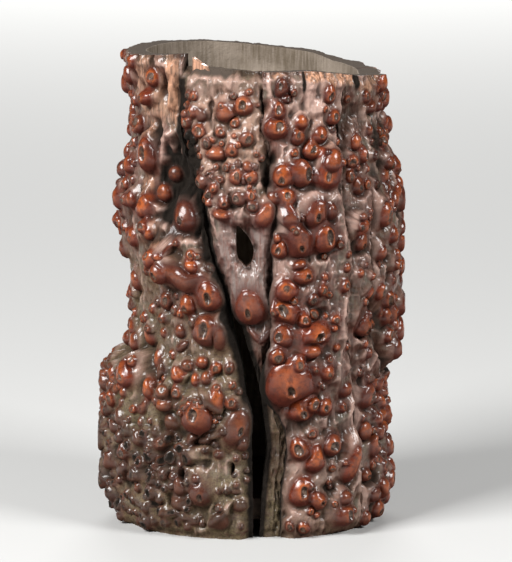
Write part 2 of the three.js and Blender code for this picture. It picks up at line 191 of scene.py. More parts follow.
# The hole's outline, and the slip at the rim: across, height
HOLE = [(-6.6, 134), (-4.4, 132.6), (-1.6, 129), (0.3, 124.5), (-0.2, 119.5), (-2.4, 116.8),
        (-4.8, 118.6), (-6.4, 120.6), (-6.9, 127)]
HOLE_POINTS = 72
HOLE_LIP = 2.6  # width of the rounded edge round the hole
HOLE_DIP = 1.6  # how deep that edge sinks
HOLE_MIDDLE, HOLE_SEARCH = (-3, 125), (12, 16)  # no point of the lip is further out than this
HOLE_REACH = (-25, -80)  # the prism that cuts it, from back to front
SLIP_ANGLE = -27
SLIP = [(-3.75, 196), (3.75, 196), (3.75, 199), (-3.75, 203)]
SLIP_DEPTHS = (0.3, 2.6)  # of its two faces, out from the well's wall
SLIP_ROWS, SLIP_COLUMNS = 13, 15
SLIP_SEED = 91


def seam(points, back=0):
    """A seam's angle as a function of height, straight between its listed points."""
    places, values = np.array(points, float).T
    return lambda height: np.interp(height, places, values) - back


def cleft_side(height):
    """The centre stem's left edge: the left seam moved over by the cleft's width."""
    return seam(SEAM_LEFT_CENTRE)(height) + seam(CLEFT_WIDTH)(height)


# A stem's form: the seams at its two edges and the grooves over them, its grid's cell, the rim's height
# above HEIGHT against angle, how far it is drawn in against height (inset), and dents as angle, height,
# half width, half height and depth. Recesses, sunk and painted dark as shade, end with a strength, and
# slits, painted black as shade, with a depth. Knobs are angle, height and radius, then stretch and tilt.
# Flecks are angles, heights, count and radii of small knobs, with True for open craters, and scattered
# gives angles and a count of large knobs. Its colour: how ripe the knobs are and how dusty the bark is,
# against height, and patches as mask, angle, height, half width, half height and strength. Deep patches
# are painted shade, and crest patches painted highlight with some polish.
LEFT_ROOT = {
    "edges": (seam(SEAM_BACK_LEFT, TURN), seam(SEAM_LEFT_CENTRE)),
    "grooves": (GROOVE_BACK_LEFT, GROOVE_LEFT_CENTRE),
    "cell": 0.545,  # a little coarser, for the burl's size
    "rim": [(-100, 1), (-60, 2.5), (-36, 4.5)],
    "dents": [(-36, 152, 13, 26, 6), (-46, 190, 4, 10, 4)],
    "recesses": [
        (-51, 164, 4, 11, 0.8), (-41, 150, 8.5, 17, 1), (-33, 149, 5, 10, 1), (-27, 136, 1.6, 7, 1),
        (-30, 135, 5, 7), (-40, 47, 4, 5), (-30, 45, 5, 2.5), (-14, 48, 2, 2), (-25, 33, 6, 2, 0.5),
        (-40, 33, 2.7, 6), (-51, 29, 5, 4), (-12, 21.5, 1.8, 3.5), (-36, 16, 2.6, 4.5), (-53, 200, 2.2, 4),
        (-37, 62, 2.3, 1.6), (-62, 22, 4, 5), (-70, 32, 3.5, 4), (-80, 22, 4, 5),
    ],
    "slits": [(-32, 27, 1.0, 2.3, 4), (-9.5, 31, 0.8, 2.2, 4)],
    "knobs": [
        (-53, 193, 3.4), (-57, 185, 4.6, 0.7), (-55, 159, 4.6, 1.2), (-47, 145, 3.2), (-55, 138, 4),
        (-53, 131, 2.8), (-43, 153, 3), (-32, 135, 4.6), (-44, 120, 3.6), (-46, 111, 2.6), (-39, 113, 4),
        (-29, 110, 4.6, 1.9, 62), (-20, 103, 4.6), (-30, 99, 3.4), (-43, 100, 3.2), (-56, 83, 3.4),
        (-21, 89, 5.6), (-61, 66, 5), (-34, 70, 2.8), (-49, 62, 2.6, 1.6), (-40, 63, 2.8), (-40, 57, 3.4),
        (-16, 61, 2.8, 1.3), (-10, 59, 2.6), (-8, 48, 5.2, 1.4), (-25, 52, 6.4), (-28, 42, 2.6),
        (-38, 49, 3.4), (-42, 40, 2.8), (-52, 41, 3), (-61, 43, 3.2), (-62, 33, 3.2), (-68, 39, 3),
        (-74, 42, 3), (-55, 24, 3), (-66, 24, 3.4), (-76, 26, 3.6), (-35, 15, 3), (-25, 19, 4.6),
        (-6, 15, 2.6), (-16, 8, 3.4), (-82, 60, 4), (-88, 33, 4.2), (-84, 16, 3.6), (-84, 138, 4),
        (-90, 128, 3.6), (-88, 150, 3.2), (-86, 116, 3.4), (-85, 92, 3.2), (-90, 77, 3), (-92, 186, 3.4),
        (-72, 78, 3.4), (-94, 60, 3.2), (-72, 104, 3.4), (-68, 124, 3.6), (-76, 154, 3.6), (-67, 172, 3.4),
        (-84, 172, 3.2), (-74, 192, 3.2), (-51, 115, 2.4), (-35, 88, 2.4), (-14, 86, 2.4, 2),
        (-48, 74, 2.4, 1.6), (-17, 74, 2.4), (-20, 44, 2.4), (-41, 27, 2.2), (-49, 5.5, 2.4), (-42, 6, 2.2),
        (-52, 54, 1.7, 2.0, -20), (-45, 70, 1.9, 2.2, -12), (-34, 82, 1.5, 2.2, -50),
        (-18, 60, 1.7, 2.4, 38), (-22, 43, 1.4, 2.8, -66), (-17, 9, 1.6, 2.4, -40), (-9, 22, 1.3, 2.2, 80),
        (-55, 12, 1.7, 2.0, 70), (-30, 8, 1.8, 2.2, 75),
    ],
    "flecks": [
        (-98, -28, 3, 48, 120, 1.6, 3.2, True), (-32, -17, 48, 62, 22, 0.9, 1.7),
        (-98, -60, 46, 70, 34, 1.4, 2.8), (-60, -3, 3, 80, 48, 1.2, 2.6), (-98, -62, 75, 200, 50, 1.5, 3.2),
        (-60, -14, 84, 130, 18, 1.4, 2.6),
    ],
    "ripe": [(0, 0.2), (44, 0.3), (56, 0.9), (200, 1)],
    "dust": [(0, 1), (62, 1), (80, 0.75), (112, 0.5), (130, 0.1), (200, 0.1)],
    "patches": [
        ("fibre", -41, 190, 4.5, 17, 1), ("deep", -31, 156, 4, 16, 0.9), ("fibre", -56, 158, 5, 34, 0.55),
        ("fibre", -46, 122, 5, 14, 0.4), ("fibre", -56, 188, 15, 20, 0.5),
    ],
}
CENTRE_ROOT = {
    "edges": (cleft_side, seam(SEAM_CENTRE_FRONT)),
    "grooves": (GROOVE_LEFT_CENTRE, GROOVE_CENTRE_FRONT),
    "cell": FINE_CELL,
    "rim": [(-36, -1), (-20, -0.5), (0, -2), (5, -2)],
    "bevel": 4,
    "inset": [(0, 6.5), (48, 5.5), (70, 3.2), (100, 1.8), (134, 1.6), (138, 0), (200, 0.6)],
    "dents": [(-28, 152, 9, 24, 4.5), (-1, 97, 9, 13, 2.5)],
    "recesses": [(4.3, 187, 1.8, 6), (5.5, 158, 2.4, 9), (-9, 144, 3, 3)],
    "knobs": [
        (-33, 176, 2.6), (-25, 173, 3, 0.8), (-12, 181, 3.6, 0.8), (-4, 184, 3.8, 0.8), (-3, 171, 2.8),
        (-17, 164, 4, 0.6), (-23, 152, 3.2, 0.9), (-7, 155, 2.8), (-1, 155, 2.8), (-6, 146, 2.6),
        (-14, 139, 3.2, 0.5), (4.5, 138, 3.2, 1.2), (-1, 98.5, 5.6, 1.1), (2, 87, 1.4, 2.2, 43),
        (6, 87.5, 1.4, 2.4, -37), (-28, 181, 2.2), (-24, 180, 2.4), (-8, 177, 1.8), (-15, 173, 2),
        (-9, 166, 2.4), (-18, 156, 1.8), (-13, 144, 2.4), (0, 143, 2.4), (-20, 147, 2),
    ],
    "flecks": [(-34, 6, 140, 190, 40, 1.1, 2.0)],
    "ripe": [(0, 1), (200, 0.8)],
    "dust": [(0, 1), (45, 0.8), (70, 0.2), (138, 0), (148, 0.3), (178, 0.4), (192, 0.5)],
    "patches": [
        ("bare", -4, 116, 20, 26, 1), ("bare", 2, 80, 8, 22, 0.7), ("fibre", -12, 170, 18, 22, 0.3),
        ("crest", -14, 172, 18, 34, 0.9), ("wall", -20, 199, 19, 4.5, 0.5), ("deep", -30, 158, 5, 20, 1),
    ],
}
FRONT_ROOT = {
    "edges": (seam(SEAM_CENTRE_FRONT), seam(SEAM_FRONT_RIGHT)),
    "grooves": (GROOVE_CENTRE_FRONT, GROOVE_FRONT_RIGHT),
    "cell": FINE_CELL,
    "rim": [(5, -2), (28, -2), (48, -4.5)],
    "dents": [(46, 172, 6, 14, 4), (17, 66, 14, 14, 3)],
    "recesses": [
        (44, 151, 5, 5.5), (13, 137, 2, 3.5), (33, 135, 5, 4.5), (32, 122, 3, 2.5), (29, 95, 3, 3.5),
        (48, 87, 3, 9), (20, 48, 4.5, 4.5), (36, 44, 4, 3), (53, 49, 3, 3), (36, 21, 4, 3.5), (25, 3, 3, 2),
        (9, 158, 2, 9),
    ],
    "knobs": [
        (13.5, 191, 2.6, 1.45), (10.5, 175, 4.5, 0.92), (22, 177, 2.6), (20, 171, 3), (31, 171, 3),
        (39, 178, 3), (37, 188, 2.6, 1.4), (27, 165, 3.6), (34, 159, 3.6), (22, 155, 4.8, 0.95),
        (13, 155, 3.8), (33, 154, 4.6), (15, 146, 3.4), (14, 140, 2.8), (28, 138, 5.2), (32, 127, 4.6),
        (12, 124, 3), (21, 127, 5.4, 1.1), (22, 113, 4, 0.8), (15, 107, 4.4), (16, 97, 4.8), (14, 87, 3.8),
        (28, 88, 6.2, 0.8), (26, 82, 4, 0.6), (12, 79, 3), (34, 71, 3), (17, 66, 9.4, 0.95),
        (22, 54, 5, 0.8), (27, 57, 3.2), (34, 56, 3.2), (22, 38, 3.6), (29, 33, 4.2), (38, 39, 4.2),
        (46, 62, 3), (48, 28, 3.8, 1.6), (23, 19, 4.6), (31, 16, 3.4), (44, 16, 3.2, 0.8), (44, 8, 5, 0.8),
        (9, 146, 2.6), (20, 118, 2.8, 0.6), (27, 103, 2.4), (25, 4.5, 2.4),
    ],
    "flecks": [(8, 50, 4, 190, 48, 1.2, 2.8)],
    "dust": [(0, 0.5), (30, 0.25), (60, 0.05), (200, 0.05)],
    "patches": [
        ("fibre", 30, 196.5, 7, 3.5, 1), ("fibre", 38, 193, 2.5, 6, 1), ("fibre", 44, 195, 3, 5, 0.9),
        ("fibre", 12, 198, 4, 3, 0.6), ("crest", 29, 172, 16, 34, 1), ("crest", 20, 130, 14, 30, 0.5),
        ("crest", 30, 20, 18, 26, 0.5), ("deep", 24, 194, 1.2, 6, 0.9), ("fibre", 30, 172, 9, 9, 0.25),
        ("deep", 46, 173, 3.5, 10, 0.8),
    ],
}
RIGHT_ROOT = {
    "edges": (seam(SEAM_FRONT_RIGHT), seam(SEAM_RIGHT_SIDE)),
    "grooves": (GROOVE_FRONT_RIGHT, GROOVE_RIGHT_SIDE),
    "cell": MIDDLE_CELL,
    "rim": [(47, -4.5), (58, -6)],
    "recesses": [
        (51, 124, 5, 5), (50, 150, 3, 5), (53, 180, 4, 3, 0.4), (62, 22, 8, 5, 0.6), (66, 4, 7, 6),
        (67, 44, 5, 1.6), (54, 65, 1.6, 3.5), (53, 90, 3, 8),
    ],
    "knobs": [
        (48, 159, 3), (51, 148, 3), (51, 130, 3.6, 1.2), (52, 124, 3), (54, 88, 4, 0.9), (60, 57, 4.6),
        (60, 42, 3.6), (66, 35, 3.8, 1.5), (70, 40, 3), (84, 44, 4), (70, 15, 3.6), (90, 20, 4.6),
        (84, 30, 3.4), (74, 5.5, 3.4), (92, 8, 3), (95, 52, 3), (52, 166, 2.6), (56, 77, 2.4), (64, 14, 3),
    ],
    "flecks": [(58, 100, 4, 62, 46, 1.5, 3.2), (46, 60, 60, 190, 20, 1.3, 2.4)],
    "dust": [(0, 0.55), (40, 0.2), (60, 0.1), (200, 0.1)],
    "patches": [
        ("deep", 56, 96, 2, 9, 0.8), ("fibre", 49, 195, 2.5, 6, 1), ("deep", 53, 192, 2.2, 4.5, 0.9),
        ("fibre", 57, 191, 3, 4, 0.9),
    ],
}
SIDE_ROOT = {
    "edges": (seam(SEAM_RIGHT_SIDE), seam(SEAM_SIDE_BACK)),
    "grooves": (GROOVE_RIGHT_SIDE, GROOVE_SIDE_BACK),
    "cell": MIDDLE_CELL,
    "bottom": SHOULDER + SHELF,
    "rim": [(57, -6), (90, -9), (104, -8)],
    "inset": [(SHOULDER, 2.5), (SHOULDER + 9, 0)],
    "recesses": [
        (72, 152, 7, 6.5), (80, 169, 7, 4), (82, 131, 5, 4), (62, 116, 4, 2.5), (68, 89, 6, 8),
        (66, 178, 3, 5),
    ],
    "knobs": [
        (78, 188, 3.4), (90, 180, 3.4), (64, 180, 2.8, 0.8), (76, 164, 3), (70, 150, 3), (63, 134, 4),
        (70, 125, 3), (76, 154, 3), (88, 150, 4), (90, 136, 4), (86, 119, 3.6), (72, 113, 3), (92, 108, 4),
        (70, 96, 3.8), (84, 92, 4), (88, 80, 4), (78, 74, 3.6), (94, 100, 3), (96, 168, 3.4),
    ],
    "flecks": [(60, 102, 70, 188, 55, 1.5, 3.2)],
    "dust": [(0, 0.2), (200, 0.2)],
    "patches": [
        ("deep", 68, 166, 5, 7, 0.75), ("deep", 61, 150, 2.5, 8, 0.6), ("fibre", 62, 189, 5, 4, 0.9),
        ("fibre", 70, 192, 9, 4, 0.5),
    ],
}
BACK_RIGHT_ROOT = {
    "edges": (seam(SEAM_SIDE_BACK), seam(SEAM_BACK)),
    "grooves": (GROOVE_SIDE_BACK, GROOVE_BACK),
    "cell": COARSE_CELL,
    "rim": [(104, -8), (130, -7), (145, -4.5), (180, -2)],
    "dents": [(140, 90, 7, 80, 3.5)],
    "flecks": [(106, 174, 6, 188, 35, 2.8, 5.0), (104, 176, 4, 190, 110, 1.4, 2.8)],
    "scattered": (103, 178, 20),
    "dust": [(0, 0.7), (60, 0.4), (200, 0.15)],
}
BACK_LEFT_ROOT = {
    "edges": (seam(SEAM_BACK), seam(SEAM_BACK_LEFT)),
    "grooves": (GROOVE_BACK, GROOVE_BACK_LEFT),
    "cell": COARSE_CELL,
    "rim": [(180, -2), (205, 0), (230, 1), (260, 1)],
    "dents": [(222, 120, 7, 90, 3.5)],
    "flecks": [
        (182, 256, 6, 190, 38, 2.8, 5.0), (232, 261, 3, 66, 45, 1.5, 3.0, True),
        (180, 258, 4, 192, 120, 1.4, 2.8),
    ],
    "scattered": (178, 260, 22),
    "ripe": [(0, 0.4), (50, 0.5), (70, 1), (200, 1)],
    "dust": [(0, 0.9), (70, 0.7), (110, 0.3), (200, 0.15)],
}
STEMS = {
    "left_root": LEFT_ROOT,
    "centre_root": CENTRE_ROOT,
    "front_root": FRONT_ROOT,
    "right_root": RIGHT_ROOT,
    "side_root": SIDE_ROOT,
    "back_right_root": BACK_RIGHT_ROOT,
    "back_left_root": BACK_LEFT_ROOT,
}
REDNESS = {"left_root": 1.0, "centre_root": 0.9, "front_root": 1.0, "right_root": 0.95,
           "side_root": 1.0, "back_right_root": 0.9, "back_left_root": 0.85}

# The large knobs of the hidden stems
BACK_KNOB_RADII = (5.2, 3.4, 4.4, 3, 6, 3.8)
BACK_KNOB_STRETCH = 1.15
BACK_KNOB_MARGIN = 0.12  # of the stem's width, kept free at either seam
BACK_KNOB_START, BACK_KNOB_SPAN = 0.06, 0.86  # of the height
GOLDEN_TURN = 0.618034

# The wood's colours, linear red, green and blue
# Darkest brown: painted shade in grooves, seam faces, slits, craters, recesses and deep hollows, and the
# dark ring in each eye.
DEEP = (0.011, 0.008, 0.006, 1)
UNRIPE = (0.036, 0.015, 0.012, 1)
# Maroon streaks and mottling, and painted shade on faces that point down.
MAROON = (0.048, 0.009, 0.006, 1)
CHESTNUT = (0.140, 0.024, 0.009, 1)
# Partly painted light: the lit orange of knob tops and of the eyes' lips.
ORANGE = (0.36, 0.085, 0.020, 1)
BARK_MAUVE = (0.165, 0.096, 0.078, 1)
BARK_BROWN = (0.060, 0.037, 0.026, 1)
# Painted shade, with some patina, in the bark's hollows.
BARK_SHADE = (0.044, 0.017, 0.011, 1)
BARK_OLIVE = (0.125, 0.110, 0.083, 1)
# Painted highlight, with some polish, on the bark's crests.
POLISH_AND_HIGHLIGHT = (0.52, 0.335, 0.275, 1)
BARE_GREY = (0.200, 0.155, 0.140, 1)
KHAKI = (0.135, 0.106, 0.056, 1)
FIBRE = (0.52, 0.27, 0.165, 1)
EYE_GREY = (0.13, 0.090, 0.064, 1)
EYE_DARK = (0.026, 0.016, 0.012, 1)
WALL_TAUPE = (0.20, 0.163, 0.130, 1)
WALL_BROWN = (0.11, 0.085, 0.060, 1)
WALL_PALE = (0.32, 0.265, 0.215, 1)
RIM_BROWN = (0.066, 0.051, 0.040, 1)
BOARD_DARK = (0.022, 0.014, 0.010, 1)
BOARD_PALE = (0.055, 0.036, 0.025, 1)
CLOUD_ROUGHNESS = 0.55  # weight of each finer noise in the wood's clouds

# The studio, in metres and watts
FLOOR_HALF = 4
FLOOR_PAINT = (0.5, 0.5, 0.49, 1)
WORLD_LIGHT = (0.8, 0.8, 0.8, 1)
WORLD_STRENGTH = 0.06
POT_MIDDLE = (0, 0, 0.1)
LAMPS = [  # name, place, size, power and what it is aimed at
    ("key_lamp", (-1.1, -1.05, 1.2), 0.85, 62, POT_MIDDLE),
    ("fill_lamp", (1.2, -0.9, 1.1), 0.65, 30, POT_MIDDLE),
    ("back_lamp", (0.0, 3.0, 1.6), 1.5, 90, (0, 3.0, 0)),
]


# Shapes that the stems share

def smooth(t):
    """0 below 0, 1 above 1, and an S-shaped step between: 3t^2 - 2t^3."""
    t = np.clip(t, 0, 1)
    return t * t * (3 - 2 * t)


def fading(value, start, width):
    """1 up to start, 0 a width further on, and an S-shaped fall between."""
    return 1 - smooth((value - start) / width)


def bell(value, middle, width):
    """1 in the middle, and e to the minus square of the distance in widths."""
    return np.exp(-((value - middle) / width) ** 2)


def noise(x, y, seed):
    """Relief between -1 and 1: random values at whole numbers, blended by a smooth step between."""
    table = np.random.default_rng(seed).uniform(-1, 1, (NOISE_TABLE, NOISE_TABLE))
    i, j = np.floor(x).astype(int), np.floor(y).astype(int)
    across, up = smooth(x - i), smooth(y - j)
    corner = lambda di, dj: table[(i + di) % NOISE_TABLE, (j + dj) % NOISE_TABLE]
    low = corner(0, 0) * (1 - across) + corner(1, 0) * across
    high = corner(0, 1) * (1 - across) + corner(1, 1) * across
    return low * (1 - up) + high * up


def polar(radius, angle, height):
    """Points at a radius, angle and height round the well's axis."""
    radius, angle, height = np.broadcast_arrays(radius, angle * DEGREE, height)
    return np.stack([radius * np.sin(angle), -radius * np.cos(angle), height], -1)


def turned_radius(height):
    """The well narrows evenly from the rim down."""
    return WELL_RADIUS_FLOOR + (WELL_RADIUS_RIM - WELL_RADIUS_FLOOR) * height / HEIGHT


def well_radius(height):
    """The turned well, let out below the ledge that the floor board is pushed up against."""
    return turned_radius(height) + REBATE_DEPTH * (height < FLOOR_TOP - SHELF)


def rim_height(stem, angle):
    """The pot's height plus the stem's own rise or fall at the rim."""
    return HEIGHT + seam(stem["rim"])(angle)


def outline(angle, height):
    """The cluster's outside: front or back radius times cos^2 plus side radius times sin^2."""
    front, right = np.cos(angle * DEGREE), np.sin(angle * DEGREE)
    ahead = np.where(front > 0, seam(FRONT_SIDE)(height), seam(BACK_SIDE)(height))
    aside = np.where(right > 0, seam(RIGHT_SIDE)(height), seam(LEFT_SIDE)(height))
    return ahead * front ** 2 + aside * right ** 2


def groove(stem, angle, height, edges):
    """How deep the grooves over a stem's two edges are at each point."""
    sides = []
    for aside, depths in zip((angle - edges[0], edges[1] - angle), stem["grooves"]):
        depth = seam(depths)(height)
        sides.append(depth * (1 - smooth(aside * ARC / depth / GROOVE_SPREAD)))
    return np.maximum(*sides)


def stem_radius(stem, angle, height, edges):
    """The outline less the grooves at both edges, the foot's and rim's rounding and the dents."""
    to_rim = rim_height(stem, angle) - height
    bevel = stem.get("bevel", RIM_ROUNDING) * fading(to_rim, 0, 3 * RIM_ROUNDING)
    radius = outline(angle, height) - groove(stem, angle, height, edges) - bevel
    radius -= FOOT_ROUNDING * fading(height, 0, 2 * FOOT_ROUNDING)
    radius -= seam(stem.get("inset", [(0, 0)]))(height)
    for dent_angle, dent_height, half_width, half_height, depth in stem.get("dents", []):
        away = np.hypot((angle - dent_angle) * ARC / half_width, (height - dent_height) / half_height)
        radius -= depth * (1 - smooth(away))
    return np.maximum(radius, turned_radius(height) + LEAST_WALL - bevel)


def blurred(field, reach):
    """The field averaged three times over a square of that many cells each way, edges repeated."""
    size = 2 * reach + 1
    for _ in range(3):
        for axis in (0, 1):
            pad = [(reach + 1, reach) if a == axis else (0, 0) for a in (0, 1)]
            total = np.cumsum(np.pad(field, pad, "edge"), axis)
            count = field.shape[axis]
            upper = np.take(total, range(size, size + count), axis)
            field = (upper - np.take(total, range(count), axis)) / size
    return field


# A stem's bark

class Bark:
    """A grid of points that runs out along one seam face, over the bark and back in along the
    other, at every height from foot to rim. across and up say in millimetres where each point
    lies on the flattened sheet, and the masks say what grows there."""

    def __init__(self, stem, seed):
        """Rows are level up to the rim's zone and fan out over it to the sloping rim. Columns are
        equal shares of the angle between the two seams, and of the wall along a seam face."""
        self.stem, self.seed, self.cell = stem, seed, stem["cell"]
        self.random = np.random.default_rng(seed)
        bottom = stem.get("bottom", 0)
        rim_start = HEIGHT - RIM_ZONE
        plain = np.linspace(bottom, rim_start, round((rim_start - bottom) / self.cell) + 1)
        rise = np.linspace(0, 1, round(RIM_ZONE / self.cell) + 1)[1:]
        level = np.concatenate([plain, np.full(rise.size, rim_start)])[:, None]
        rise = np.concatenate([np.zeros(plain.size), rise])[:, None]
        left, right = self.edges = [edge(level) for edge in stem["edges"]]

        def spread(columns):
            """Angles and heights of a grid with this many columns between the two edges."""
            angle = left + (right - left) * np.linspace(0, 1, columns + 1)[None, :]
            return angle, level + rise * (rim_height(stem, angle) - level)

        columns = INNER_SHARE * math.ceil(np.max(right - left) * ARC / self.cell / INNER_SHARE)
        angle, height = spread(columns)
        self.inner_angle, self.inner_height = spread(columns // INNER_SHARE)
        face = polar(stem_radius(stem, angle, height, self.edges), angle, height)
        inner = [polar(well_radius(height[:, [i]]), self.edges[i], height[:, [i]]) for i in (0, -1)]
        step = np.linspace(0, 1, WALL_STEPS + 1)[None, :-1, None]
        first = inner[0] + (face[:, :1] - inner[0]) * step
        last = inner[1] + (face[:, -1:] - inner[1]) * step
        self.points = np.concatenate([first, face, last[:, ::-1]], 1)
        thick = [np.linalg.norm(face[:, i] - inner[i][:, 0], axis=1)[:, None] for i in (0, -1)]
        depth, depth_last = (wall * (1 - step[..., 0]) for wall in thick)
        depth_last = depth_last[:, ::-1]

        def sheet(values):
            """Values of the bark, with those at its edges carried in along the seam faces."""
            return np.concatenate([values[:, :1] + 0 * depth, values, values[:, -1:] + 0 * depth_last], 1)

        self.across = np.concatenate([angle[:, :1] * ARC - depth, angle * ARC,
                                      angle[:, -1:] * ARC + depth_last], 1)
        self.up = self.points[..., 2].copy()
        self.radial = self.points * (1, 1, 0)
        self.radial /= np.linalg.norm(self.radial, axis=-1, keepdims=True)
        self.outside = np.concatenate([smooth(1 - depth / EDGE_FADE), np.ones_like(angle),
                                       smooth(1 - depth_last / EDGE_FADE)], 1)
        self.groove = sheet(groove(stem, angle, height, self.edges))
        self.start = sheet(outline(angle, height))
        names = ("knob", "tone", "eye", "ring", "lip", "slit", "stain", "wall", "fibre", "bare")
        self.masks = {name: np.zeros_like(self.up) for name in names}
        self.knobs = []

    def waves(self, form, aside=0, above=0):
        """One of the noises named above, over the sheet or over places moved aside and up."""
        across, up, number = form
        return noise((self.across + aside) / across, (self.up + above) / up, self.seed + number)

    def ellipse(self, angle, height, half_width, half_height):
        """Distance from a place on the sheet, 1 all along an upright ellipse round it."""
        return np.hypot((self.across - angle * ARC) / half_width, (self.up - height) / half_height)

    def relief(self):
        """Everything here is pushed straight out: broad swellings, large and small folds along
        the zero lines of a swaying noise, fine lumps and upright furrows. Recesses are ellipses
        with ragged edges, sunk, and marked to be painted dark as shade."""
        sway = SWAY * self.waves(SWAYING)
        furrows = self.waves(FURROWS, sway) + 0.6 * self.waves(FINE_FURROWS, sway)
        folds = 1 - 2.2 * np.abs(self.waves(FOLDS, sway, sway))
        folds += 0.5 - 1.2 * np.abs(self.waves(SMALL_FOLDS, sway))
        lumps = 1.25 * self.waves(SWELLINGS) + 0.85 * folds
        lumps += 0.28 * self.waves(LUMPS) - 0.4
        push = (lumps + 0.22 * furrows) * self.outside * smooth(self.up / FOOT_FADE + 0.2)
        self.recess = np.zeros_like(push)
        ragged = 0.4 * self.waves(RECESS_EDGES)
        for recess in self.stem.get("recesses", []):
            *place, strength = (*recess, RECESS_STRENGTH)[:5]
            sunk = np.minimum(1.6 * fading(self.ellipse(*place) + ragged, 0.3, 0.95), 1) * strength
            self.recess = np.maximum(self.recess, sunk * self.outside)
        self.points += self.radial * (push - RECESS_DEPTH * self.recess)[..., None]

    def frame_at(self, row, column, reach):
        """The outward direction, the direction across and the direction up at a grid point."""
        rows, columns = self.up.shape
        span = max(2, int(reach / self.cell))
        left, right = max(column - span, 0), min(column + span, columns - 1)
        low, high = max(row - span, 0), min(row + span, rows - 1)
        across = self.points[row, right] - self.points[row, left]
        up = self.points[high, column] - self.points[low, column]
        out = np.cross(across, up)
        out = out / np.linalg.norm(out) + OUTWARD * self.radial[row, column] - (0, 0, KNOB_DROOP)
        out /= np.linalg.norm(out)
        across = across - out * (across @ out)
        across /= np.linalg.norm(across)
        return out, across, np.cross(out, across)

    def grow(self, angle, height, radius, stretch=1.0, tilt=0.0, crater=False):
        """One knob. The bark within its radius is drawn up into a dome: a point at share s of
        the radius goes to the angle s * bend from the dome's tip. It hangs, longer above its tip
        than below. Beyond, a skirt falls away exponentially and settles into the bark. Most tips
        carry an eye, a flat disc sunk inside a raised edge. Its masks hold painted light on its
        upper side and painted shade in an open crater. a and b are the places of points in
        the knob's own radii, across and up from its middle."""
        random = self.random
        if tilt == 0:
            tilt = random.normal(0, KNOB_LEAN)

        # The part of the sheet that it reaches, and its place there
        lift = random.uniform(1.0, 1.25 + 0.12 * min(radius, 4))
        reach = radius * STAIN_REACH * max(stretch, 1) * lift + self.cell
        rows = np.nonzero(np.abs(self.up.mean(1) - height) < reach + 3)[0]
        if rows.size < 3:
            return
        part = slice(rows[0], rows[-1] + 1)
        aside, above = self.across[part] - angle * ARC, self.up[part] - height
        row, column = np.unravel_index(np.argmin(aside ** 2 + above ** 2), aside.shape)
        row += part.start
        out, across, up = self.frame_at(row, column, radius * 0.6)
        centre = self.points[row, column].copy()
        cos, sin = math.cos(tilt * DEGREE), math.sin(tilt * DEGREE)
        across, up = across * cos + up * sin, up * cos - across * sin

        # Its outline
        a = (aside * cos + above * sin) / radius
        b = (above * cos - aside * sin) / radius / stretch
        tall = np.where(b > 0, lift, LOWER_HALF)
        b = b / tall
        around = np.arctan2(b, a)
        phase = random.uniform(0, TURN, 3) * DEGREE
        two, three = TWO_SIDED * np.sin(2 * around + phase[0]), THREE_SIDED * np.sin(3 * around + phase[1])
        share = np.hypot(a, b) * (1 + two + three)

        # Its dome and skirt
        bend = random.uniform(66 + 2 * min(radius, 6), 100) * DEGREE
        size = KNOB_PROUD / (1 + radius / FLAT_RADIUS) * random.uniform(0.8, 1.1)
        beyond = np.maximum(share - 1, 0)
        turn = np.minimum(share, 1) * bend
        sideways = np.sin(turn) + 1.1 * beyond
        dome = KNOB_FLANK + KNOB_DOME * np.cos(turn)
        edge = KNOB_FLANK + KNOB_DOME * math.cos(bend)
        rise = np.where(share < 1, dome, edge * np.exp(-beyond / SKIRT_FALL))

        # Its eye and lip
        eyed = random.uniform() < (0.92 if radius > 4.2 else 0.7) and ROUND_LEAST < stretch < ROUND_MOST
        eye = random.uniform(*EYE_RADII) * (1.25 if radius < 2.4 else 1.1 - 0.075 * radius)
        if crater and eyed:
            eye = CRATER_RADIUS
        off, over = (random.uniform(-0.22, 0.22), random.uniform(-0.1, 0.3)) if radius > 2 else (0, 0)
        narrow = random.uniform(0.7, 1.1)
        from_eye = np.hypot((a - off) / narrow, b - over) / eye
        from_eye = from_eye * (1 + 0.12 * np.sin(2 * around + phase[1]))
        lip_width = (LIP_WIDTH + 0.05 * radius) / (eye * radius)
        if eyed:
            rise = rise - random.uniform(*EYE_DEPTHS) * fading(from_eye, 0.62, 0.4)
            rise = rise + LIP_RISE * bell(from_eye, 1.1, lip_width)
            rise = rise - (0.35 if crater else random.choice((0.0, 0.22))) * fading(from_eye, 0, 0.6)

        ideal = centre + radius * (across * (np.cos(around) * sideways)[..., None]
                                   + up * (np.sin(around) * sideways * stretch * tall)[..., None]
                                   + out * (rise * size)[..., None])
        settle = smooth((beyond - 0.12) / (KNOB_SKIRT - 0.12))[..., None]
        self.points[part] = ideal * (1 - settle) + self.points[part] * settle
        self.knobs.append((angle * ARC, height, radius))

        # Its masks. The lip mask also carries painted light on the knob's upper side.
        cover, top = fading(share, 0.75, 0.8), fading(share, 0.9, 0.3)
        tone = random.uniform(0.08 * min(radius, 5), 1) * seam(self.stem.get("ripe", [(0, 1)]))(height)
        tone *= 0.4 if stretch > RIDGE_STRETCH else 1
        disc = eyed * fading(from_eye, 0.7, 0.25)
        ring = eyed * bell(from_eye, 0.86, 0.18)
        # Painted light: the upper side, round a point above the middle, is lit up orange; with an eye this
        # joins the eye's orange lip, itself partly painted highlight.
        painted_top_light = fading(np.hypot(a, b - 0.25), 0, 0.7 if radius > LARGE else 0.9)
        shine = 0.6 if LARGE < radius < HUGE else 0.75
        lip = np.maximum(bell(from_eye, 1.15, lip_width), shine * painted_top_light) if eyed else painted_top_light
        stain = random.uniform(0.2, 1.0) * fading(share, 0.8, STAIN_REACH - 0.8)
        masks = {name: mask[part] for name, mask in self.masks.items()}
        for name, value, weight in (("knob", 1, cover), ("tone", tone, cover), ("eye", disc, top),
                                    ("ring", ring, top), ("lip", lip, top)):
            masks[name] += (value - masks[name]) * weight
        # Painted shade: the middle of an open crater is marked black, through the slit mask.
        for name, value in (("slit", crater * 0.9 * disc * (from_eye < 0.75)), ("stain", stain)):
            masks[name] += np.maximum(value - masks[name], 0)

